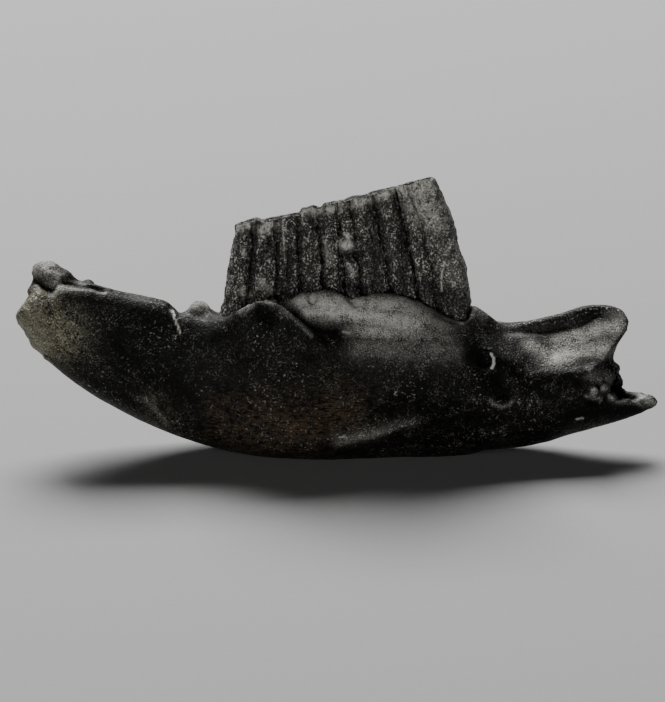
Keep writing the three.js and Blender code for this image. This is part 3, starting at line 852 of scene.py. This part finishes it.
def enamel_material():
    """Grey-black enamel with streaks down the tooth, pits, darker dentine on the chewing surface, and
    painted glints, highlights and shade.
    """
    _, colours, _ = settings()
    shader = Shader("fossil_enamel")
    streaks = shader.noise(0.13, detail=3, roughness=0.6, stretch=(1, 1, 5))
    fine = shader.noise(0.12, detail=2, roughness=0.6)
    coarse = shader.noise(0.42, detail=4, roughness=0.65)
    mottle = shader.between(coarse + 0.7 * streaks, 0.72, 1.15)
    colour = shader.blend(mottle, colours.enamel, ENAMEL_MOTTLE)
    # Painted glints: pale specks in the chip colour, more on raised ridges and fewer on the inner side
    painted_glint = shader.between(fine, 0.52, 0.6) * (0.4 + 1.2 * shader.between(coarse, 0.42, 0.6))
    painted_glint = painted_glint * shader.painted("painted_glint")
    colour = shader.blend(painted_glint.clamped(), colour, colours.chip)
    # Pale weathered enamel and painted highlights
    pale = (shader.painted("pale") * shader.between(fine + coarse, 0.7, 1.12)).clamped()
    colour = shader.blend(pale, colour, colours.pale_enamel_and_highlight)
    # Painted shade: grooves and the shade lines darkened
    shaded = shader.painted("painted_shade") * shader.between(coarse, 0.3, 0.6)
    painted_shade = (0.6 * shader.painted("groove") + shaded).clamped()
    colour = shader.blend(painted_shade * 0.75, colour, ENAMEL_SHADE)
    colour = shader.blend(shader.painted("rim") * 0.85, colour, ENAMEL_TOP)
    colour = shader.blend(shader.painted("dentine"), colour, colours.dentine)
    chip = (shader.painted("chip") * shader.between(fine, 0.25, 0.5)).clamped()
    colour = shader.blend(chip, colour, colours.chip)
    roughness = 0.42 - 0.18 * shader.between(fine, 0.45, 0.7) + 0.15 * coarse + 0.15 * painted_shade
    normal = shader.bump(coarse, depth_mm=0.12)
    normal = shader.bump(streaks, depth_mm=0.08, below=normal)
    normal = shader.bump(fine, depth_mm=0.09, below=normal)
    return shader.close(colour, roughness, normal, specular=0.3)


def stump_material():
    """Olive-grey enamel of the broken gnawing tooth, with painted shade in its grooves and hollows."""
    _, colours, _ = settings()
    shader = Shader("fossil_stump")
    fine = shader.noise(0.14, detail=2, roughness=0.6)
    coarse = shader.noise(0.5, detail=4, roughness=0.62)
    olive = shader.between(0.8 * fine + 0.8 * coarse, 0.58, 1.0)
    colour = shader.blend(olive, STUMP_SKIN, colours.olive)
    # Painted shade in the stump's grooves
    colour = shader.blend(shader.painted("groove"), colour, STUMP_GROOVE_SHADE)
    chip = shader.painted("chip") * shader.between(fine, 0.4, 0.6)
    colour = shader.blend(chip, colour, STUMP_CHIPS)
    crumbs = shader.between(shader.noise(0.1, detail=1, roughness=0.5), 0.58, 0.72)
    colour = shader.blend(crumbs * 0.7, colour, OLIVE_CRUMBS)
    # Painted shade where the shade lines cross the stump
    colour = shader.blend(shader.painted("shade"), colour, STUMP_PAINTED_SHADE)
    roughness = 0.5 - 0.2 * shader.between(fine, 0.45, 0.7) + 0.1 * coarse
    normal = shader.bump(coarse, depth_mm=0.2)
    normal = shader.bump(fine, depth_mm=0.07, below=normal)
    return shader.close(colour, roughness, normal)


# Blocks that fill what nobody sees inside the bone: middle and size in millimetres
FILLS = (
    ((-3.3, 0.3, 7.4), (8.2, 3.9, 2.8)),
    ((2.4, 0.2, 7.4), (5.4, 3.6, 2.8)),
    ((6.3, 0.1, 7.2), (3.4, 3.2, 2.4)),
    ((-14.0, -0.1, 6.1), (4.4, 2.2, 2.0)),
)
# Lumps of the front knob, the gap before the teeth, the web and the lower prong's tip: middle and half
# sizes in millimetres
LUMPS = (
    ((-17.6, 0.9, 11.0), (1.0, 0.75, 0.65)),
    ((-16.4, 1.0, 10.6), (1.1, 0.5, 0.45)),
    ((-18.6, 0.5, 10.7), (0.7, 0.8, 0.5)),
    ((19.1, -0.85, 3.42), (0.5, 0.42, 0.46)),
    ((-8.75, -0.1, 9.15), (0.85, 0.6, 0.65)),
    ((16.6, -1.0, 4.9), (0.55, 0.6, 0.5)),
    ((16.2, -1.9, 4.4), (0.6, 0.45, 0.4)),
    ((17.3, 0.2, 4.4), (0.4, 0.5, 0.5)),
    ((19.15, -0.6, 3.25), (0.55, 0.35, 0.3)),
    ((-18.9, 0.2, 10.35), (0.65, 0.9, 0.55)),
)


def add_box(middle, size):
    """A box primitive with its place and size in its mesh."""
    bpy.ops.mesh.primitive_cube_add(size=1, location=middle)
    box = bpy.context.object
    box.scale = size
    bpy.ops.object.transform_apply(location=True, rotation=True, scale=True)
    return box


def add_lump(middle, half_sizes):
    """An uneven lump with its place and size in its mesh."""
    bpy.ops.mesh.primitive_ico_sphere_add(subdivisions=4, radius=1, location=middle)
    lump = bpy.context.object
    lump.scale = half_sizes
    bpy.ops.object.transform_apply(location=True, rotation=True, scale=True)
    roughen(lump, size=0.7, height=0.3)
    return lump


def keep_outer_shell(piece):
    """Delete the tiny closed cavities that a remesh leaves inside."""
    select_only(piece)
    bpy.ops.object.mode_set(mode="EDIT")
    bpy.ops.mesh.select_mode(type="VERT")
    bpy.ops.mesh.select_all(action="DESELECT")
    bpy.ops.object.mode_set(mode="OBJECT")
    foremost = int(read_points(piece.data)[:, 0].argmin())
    piece.data.vertices[foremost].select = True
    bpy.ops.object.mode_set(mode="EDIT")
    bpy.ops.mesh.select_linked()
    bpy.ops.mesh.select_all(action="INVERT")
    bpy.ops.mesh.delete(type="VERT")
    bpy.ops.object.mode_set(mode="OBJECT")


class JAW_OT_bone(bpy.types.Operator):
    """Dress the jaw bone: one skin with grain, pits, cracks and worn edges, with painted highlights,
    glints and shade
    """

    bl_idname = "fossil_jaw.bone"
    bl_label = "Jaw Bone"

    def execute(self, context):
        sizes, _, _ = settings()
        bone = copy_of_node("jaw_bone", "bone_skin")
        bpy.ops.object.select_all(action="DESELECT")
        parts = [add_box(*fill) for fill in FILLS] + [add_lump(*lump) for lump in LUMPS]
        select_only(bone, *parts)
        bpy.ops.object.join()
        apply_modifier(bone, "REMESH", mode="VOXEL", voxel_size=sizes.bone_voxel)
        keep_outer_shell(bone)
        apply_modifier(bone, "SMOOTH", factor=0.5, iterations=7)
        roughen(bone, size=2.4, height=sizes.swell)
        roughen(bone, size=0.42, height=sizes.grain)
        self.break_edges(bone.data)
        soften(bone.data, SOFTENED, rounds=40)
        grab(bone.data, BONE_GRABS)
        carve(bone.data, BONE_CARVING, end=BONE_CARVING_END)
        points = read_points(bone.data)
        pitting = 0.22 * cloud(points, (0.5, 0.5, 0.28)) + 0.1 * cloud(points, 0.2, shift=5.0)
        carve_inner(bone.data, INNER_BROKEN, pitting)
        carve_inner(bone.data, INNER_CARVING)
        points = read_points(bone.data)
        points[:, 2] = np.maximum(points[:, 2], 0)  # it rests on its flat spot
        write_points(bone.data, points)
        self.paint_marks(bone.data)
        finish_piece(bone, "jaw_bone", bone_material())
        return {"FINISHED"}

    def break_edges(self, mesh):
        """Clods where the bone is broken."""
        points = read_points(mesh)
        where = touched_by(outer_view(points), BROKEN)
        clods = 0.35 * cloud(points, 0.55) + 0.15 * cloud(points, 0.25, shift=5.0)
        write_points(mesh, points + read_normals(mesh) * (where * clods)[:, None])

    def paint_marks(self, mesh):
        """Paint the values that the material mixes its colours by."""
        points = read_points(mesh)
        normals = read_normals(mesh)
        places = outer_view(points)
        end = np.where(points[:, 0] < KNOB_REAR_X, KNOB_PAINT_END, PAINT_END)
        seen = facing_viewer(normals) * ramp(points[:, 1], end, end - PAINT_FADE)
        paint(mesh, "ridge", standing_out(mesh, rounds=8) / 0.04)
        # Pale chips and the painted highlight on the small hole's rim
        paint(mesh, "chip", touched_by(places, CHIPS_AND_HIGHLIGHT) * seen)
        # The inner side's upward faces are painted a little grey
        upward_grey = 0.12 * ramp(points[:, 1], 1.0, 2.0) * ramp(normals[:, 2], -0.3, 0.7)
        # Worn places and painted highlights, on the side facing the outer view, with the grey of the inner
        # side's upward faces
        paint(mesh, "worn", np.maximum(touched_by(places, WORN_AND_HIGHLIGHTS) * seen, upward_grey))
        paint(mesh, "earth", touched_by(places, EARTH) * seen)
        paint(mesh, "olive", touched_by(places, OLIVE))
        # Painted shade along the shade lines, on the side facing the outer view
        paint(mesh, "shade", touched_by(places, PAINTED_SHADE) * seen)
        paint(mesh, "inner", ramp(points[:, 1], 0.8, 1.8))


class JAW_OT_cheek_teeth(bpy.types.Operator):
    """Dress the three cheek teeth: enamel ridges, dentine worn below the rim, streaks and chips"""

    bl_idname = "fossil_jaw.cheek_teeth"
    bl_label = "Cheek Teeth"

    def execute(self, context):
        sizes, _, _ = settings()
        material = enamel_material()
        for node in CHEEK_TEETH:
            tooth = copy_of_node(node, f"{node}_enamel")
            apply_modifier(tooth, "REMESH", mode="VOXEL", voxel_size=sizes.tooth_voxel)
            apply_modifier(tooth, "SMOOTH", factor=0.5, iterations=3)
            self.meet_neighbours(tooth.data)
            self.wear_top(tooth.data, sizes)
            self.streak(tooth.data)
            grab(tooth.data, TOOTH_GRABS)
            carve(tooth.data, TOOTH_CARVING, end=TOOTH_CARVING_END)
            self.paint_marks(tooth.data)
            finish_piece(tooth, node, material)
        return {"FINISHED"}

    def meet_neighbours(self, mesh):
        """Lengthen the tooth a little at both ends, so that the teeth touch."""
        points = read_points(mesh)
        levels = np.linspace(points[:, 2].min(), points[:, 2].max(), TOOTH_LEVELS)
        level_of = np.clip(np.digitize(points[:, 2], levels) - 1, 0, len(levels) - 2)
        middles = (levels[:-1] + levels[1:]) / 2
        ends = [
            (points[level_of == k, 0].min(), points[level_of == k, 0].max()) for k in range(len(middles))
        ]
        low = np.interp(points[:, 2], middles, [a for a, _ in ends])
        high = np.interp(points[:, 2], middles, [b for _, b in ends])
        along = (points[:, 0] - (low + high) / 2) / ((high - low) / 2)
        points[:, 0] += MEETING * np.clip(along, -1, 1)
        write_points(mesh, points)

    def wear_top(self, mesh, sizes):
        """Notch the chewing edge and sink the dentine inside its rim of enamel."""
        points = read_points(mesh)
        normals = read_normals(mesh)
        top_z = chewing_height(points)
        near_top = ramp(points[:, 2], top_z - TOP_BAND, top_z)
        columns = [from_photo(column, 0)[0] for column, _ in CHEWING_EDGE_PX]
        steps = [step for _, step in CHEWING_EDGE_PX]
        is_top = (normals[:, 2] > TOP_FACING) & (near_top > TOP_SHARE)
        is_side = ~is_top & (near_top > SIDE_SHARE)
        sides = kdtree.KDTree(int(is_side.sum()))
        for index, place in enumerate(points[is_side].tolist()):
            sides.insert(place, index)
        sides.balance()
        gaps = np.zeros(len(points))
        for index in np.flatnonzero(is_top):
            gaps[index] = sides.find(points[index].tolist())[2]
        sunk = ramp(gaps, sizes.enamel_rim, sizes.enamel_rim + RIM_FADE)
        paint(mesh, "dentine", sunk)
        points[:, 2] += near_top * np.interp(points[:, 0], columns, steps)
        points[:, 2] -= sunk * (sizes.dentine_depth + 0.05 * cloud(points, 0.4))
        write_points(mesh, points)

    def streak(self, mesh):
        """Uneven, nodular enamel with streaks that run down the tooth."""
        points = read_points(mesh)
        normals = read_normals(mesh)
        side = np.clip(1 - np.abs(normals[:, 2]), 0, 1)
        relief = 0.12 * cloud(points, (0.7, 0.7, 1.3)) + 0.12 * cloud(points, (0.3, 0.3, 0.4), shift=3.0)
        relief += 0.06 * cloud(points, (0.16, 0.16, 0.9), shift=7.0)
        waver = 0.07 * cloud(points, (1.1, 3.0, 1.5), shift=11.0)
        points[:, 0] += waver
        write_points(mesh, points + normals * (side * relief)[:, None])

    def paint_marks(self, mesh):
        """Paint the values that the material mixes its colours by."""
        points = read_points(mesh)
        normals = read_normals(mesh)
        places = outer_view(points)
        seen = facing_viewer(normals) * (points[:, 1] < TOOTH_CARVING_END)
        height = standing_out(mesh, rounds=10)
        # Where the painted glints go: more on raised ridges, fewer on the inner side
        outer = np.maximum(ramp(points[:, 1], 0.6, 0), 0.22)
        paint(mesh, "painted_glint", (0.5 + 0.5 * ramp(height, 0, 0.05)) * outer)
        # Painted shade in the grooves: the deeper the groove, the darker
        paint(mesh, "groove", -height / 0.06)
        paint(mesh, "rim", ramp(normals[:, 2], 0.35, 0.65))
        paint(mesh, "chip", touched_by(places, TOOTH_CHIPS) * seen)
        # Pale enamel and painted highlights, on the side facing the outer view
        paint(mesh, "pale", touched_by(places, TOOTH_PALE_AND_HIGHLIGHTS) * seen)
        # Painted shade in grooves and under the third tooth
        paint(mesh, "painted_shade", touched_by(places, TOOTH_SHADE) * seen)


def chewing_height(points):
    """Height of the plane that the teeth wear down to."""
    plane = CHEWING_PLANE
    along = points[:, 0] - plane["x"]
    across = points[:, 1] - plane["y"]
    return plane["z"] + plane["rise"] * along - plane["tilt"] * across


# The mouth of the stump's canal: where the swelling starts and is full, and its height, in millimetres
MOUTH_FRONT_X = (-20.4, -19.4)
MOUTH_REAR_X = (-15.0, -16.0)
MOUTH_SWELL = 0.28


class JAW_OT_stump(bpy.types.Operator):
    """Dress the stump of the gnawing tooth: olive enamel with a rough break"""

    bl_idname = "fossil_jaw.stump"
    bl_label = "Gnawing Tooth Stump"

    def execute(self, context):
        sizes, _, _ = settings()
        stump = copy_of_node("incisor_stump", "stump_enamel")
        apply_modifier(stump, "REMESH", mode="VOXEL", voxel_size=sizes.tooth_voxel)
        apply_modifier(stump, "SMOOTH", factor=0.5, iterations=12)
        self.fill_canal(stump.data)
        grab(stump.data, STUMP_GRABS)
        roughen(stump, size=1.2, height=0.14)
        roughen(stump, size=0.3, height=0.06)
        height = standing_out(stump.data, rounds=12)
        # Painted shade in the grooves: the deeper, the darker
        paint(stump.data, "groove", -height / 0.05)
        paint(stump.data, "chip", height / 0.05 - 0.4)
        # Painted shade where the shade lines cross the stump
        paint(stump.data, "shade", touched_by(outer_view(read_points(stump.data)), PAINTED_SHADE))
        finish_piece(stump, "incisor_stump", stump_material())
        return {"FINISHED"}

    def fill_canal(self, mesh):
        """Swell the stump where it leaves the bone, so that no gap shows round it."""
        points = read_points(mesh)
        at_mouth = ramp(points[:, 0], *MOUTH_FRONT_X) * ramp(points[:, 0], *MOUTH_REAR_X)
        write_points(mesh, points + read_normals(mesh) * (MOUTH_SWELL * at_mouth)[:, None])


# Stage, in metres
FLOOR_SIZE = 3.0
FLOOR_SHADE = 0.93  # brightness of the darker grain of the floor
ROOM_COLOUR = (0.92, 0.95, 1.0)
JAW_MIDDLE = (0, 0, 0.008)


def area_light(name, location, target, size, power):
    """A square soft light that looks at a target."""
    lamp = bpy.data.lights.new(name, "AREA")
    lamp.shape = "SQUARE"
    lamp.size = size
    lamp.energy = power
    holder = bpy.data.objects.new(name, lamp)
    bpy.context.scene.collection.objects.link(holder)
    holder.location = location
    holder.rotation_euler = (Vector(target) - Vector(location)).to_track_quat("-Z", "Y").to_euler()


class JAW_OT_stage(bpy.types.Operator):
    """Lay the floor, hang the soft lights and set the camera at the photograph's angle"""

    bl_idname = "fossil_jaw.stage"
    bl_label = "Stage"

    def execute(self, context):
        _, _, stage = settings()
        self.add_floor(stage)
        area_light("key", (-0.05, 0.26, 0.34), target=(0, 0, 0.005), size=0.24, power=stage.key_power)
        area_light("fill", (-0.14, -0.5, 0.07), target=JAW_MIDDLE, size=0.16, power=stage.fill_power)
        area_light("glint", (-0.16, -0.3, 0.17), target=JAW_MIDDLE, size=0.1, power=stage.glint_power)
        world = bpy.data.worlds.new("soft_room")
        world.use_nodes = True
        world.node_tree.nodes["Background"].inputs["Color"].default_value = as_colour(ROOM_COLOUR)
        world.node_tree.nodes["Background"].inputs["Strength"].default_value = stage.room_light
        context.scene.world = world
        self.add_camera(context.scene, stage)
        return {"FINISHED"}

    def add_floor(self, stage):
        """The plain pale floor, with a faint grain."""
        bpy.ops.object.select_all(action="DESELECT")
        bpy.ops.mesh.primitive_plane_add(size=FLOOR_SIZE, location=(0, 0, 0))
        floor = bpy.context.object
        floor.name = "floor"
        shader = Shader("pale_floor")
        grain = shader.noise(0.5, detail=3, roughness=0.6)
        shade = tuple(FLOOR_SHADE * c for c in stage.floor_colour)
        colour = shader.blend(grain, stage.floor_colour, shade)
        normal = shader.bump(grain, depth_mm=0.02)
        floor.data.materials.append(shader.close(colour, 0.85, normal, specular=0.2))

    def add_camera(self, scene, stage):
        """A long lens: one photograph pixel is 1 / PX_PER_MM millimetres at the jaw."""
        width_px, height_px = PHOTO_SIZE_PX
        centre_x, centre_up = from_photo(width_px / 2, height_px / 2)
        target = Vector((centre_x, 0, centre_up / math.cos(VIEW_ELEVATION))) * MM
        camera = bpy.data.cameras.new("camera")
        camera.sensor_fit = "HORIZONTAL"
        camera.sensor_width = 36.0
        camera.lens = camera.sensor_width * stage.camera_distance / (width_px / PX_PER_MM * MM)
        camera.clip_end = 10.0
        holder = bpy.data.objects.new("camera", camera)
        scene.collection.objects.link(holder)
        back = Vector((0, -math.cos(VIEW_ELEVATION), math.sin(VIEW_ELEVATION)))
        holder.location = target + back * stage.camera_distance
        holder.rotation_euler = (math.pi / 2 - VIEW_ELEVATION, 0, 0)
        scene.camera = holder


class JAW_PT_panel(bpy.types.Panel):
    """Values and steps of the fossil jaw"""

    bl_idname = "JAW_PT_panel"
    bl_label = "Fossil Muskrat Jaw"
    bl_space_type = "VIEW_3D"
    bl_region_type = "UI"
    bl_category = "Jaw"

    def draw(self, context):
        for group in settings():
            column = self.layout.column(align=True)
            for key in group.__annotations__:
                column.prop(group, key)
        for step in STEPS:
            self.layout.operator(step.bl_idname)


GROUPS = {"jaw_sizes": JawSizes, "jaw_colours": JawColours, "jaw_stage": StageSettings}
STEPS = (JAW_OT_stage, JAW_OT_bone, JAW_OT_cheek_teeth, JAW_OT_stump)


def register():
    for cls in (*GROUPS.values(), *STEPS, JAW_PT_panel):
        bpy.utils.register_class(cls)
    for name, group in GROUPS.items():
        setattr(bpy.types.Scene, name, PointerProperty(type=group))


def unregister():
    for name in GROUPS:
        delattr(bpy.types.Scene, name)
    for cls in reversed((*GROUPS.values(), *STEPS, JAW_PT_panel)):
        bpy.utils.unregister_class(cls)


def main():
    register()
    bpy.ops.fossil_jaw.stage()
    bpy.ops.fossil_jaw.bone()
    bpy.ops.fossil_jaw.cheek_teeth()
    bpy.ops.fossil_jaw.stump()


if __name__ == "__main__":
    main()
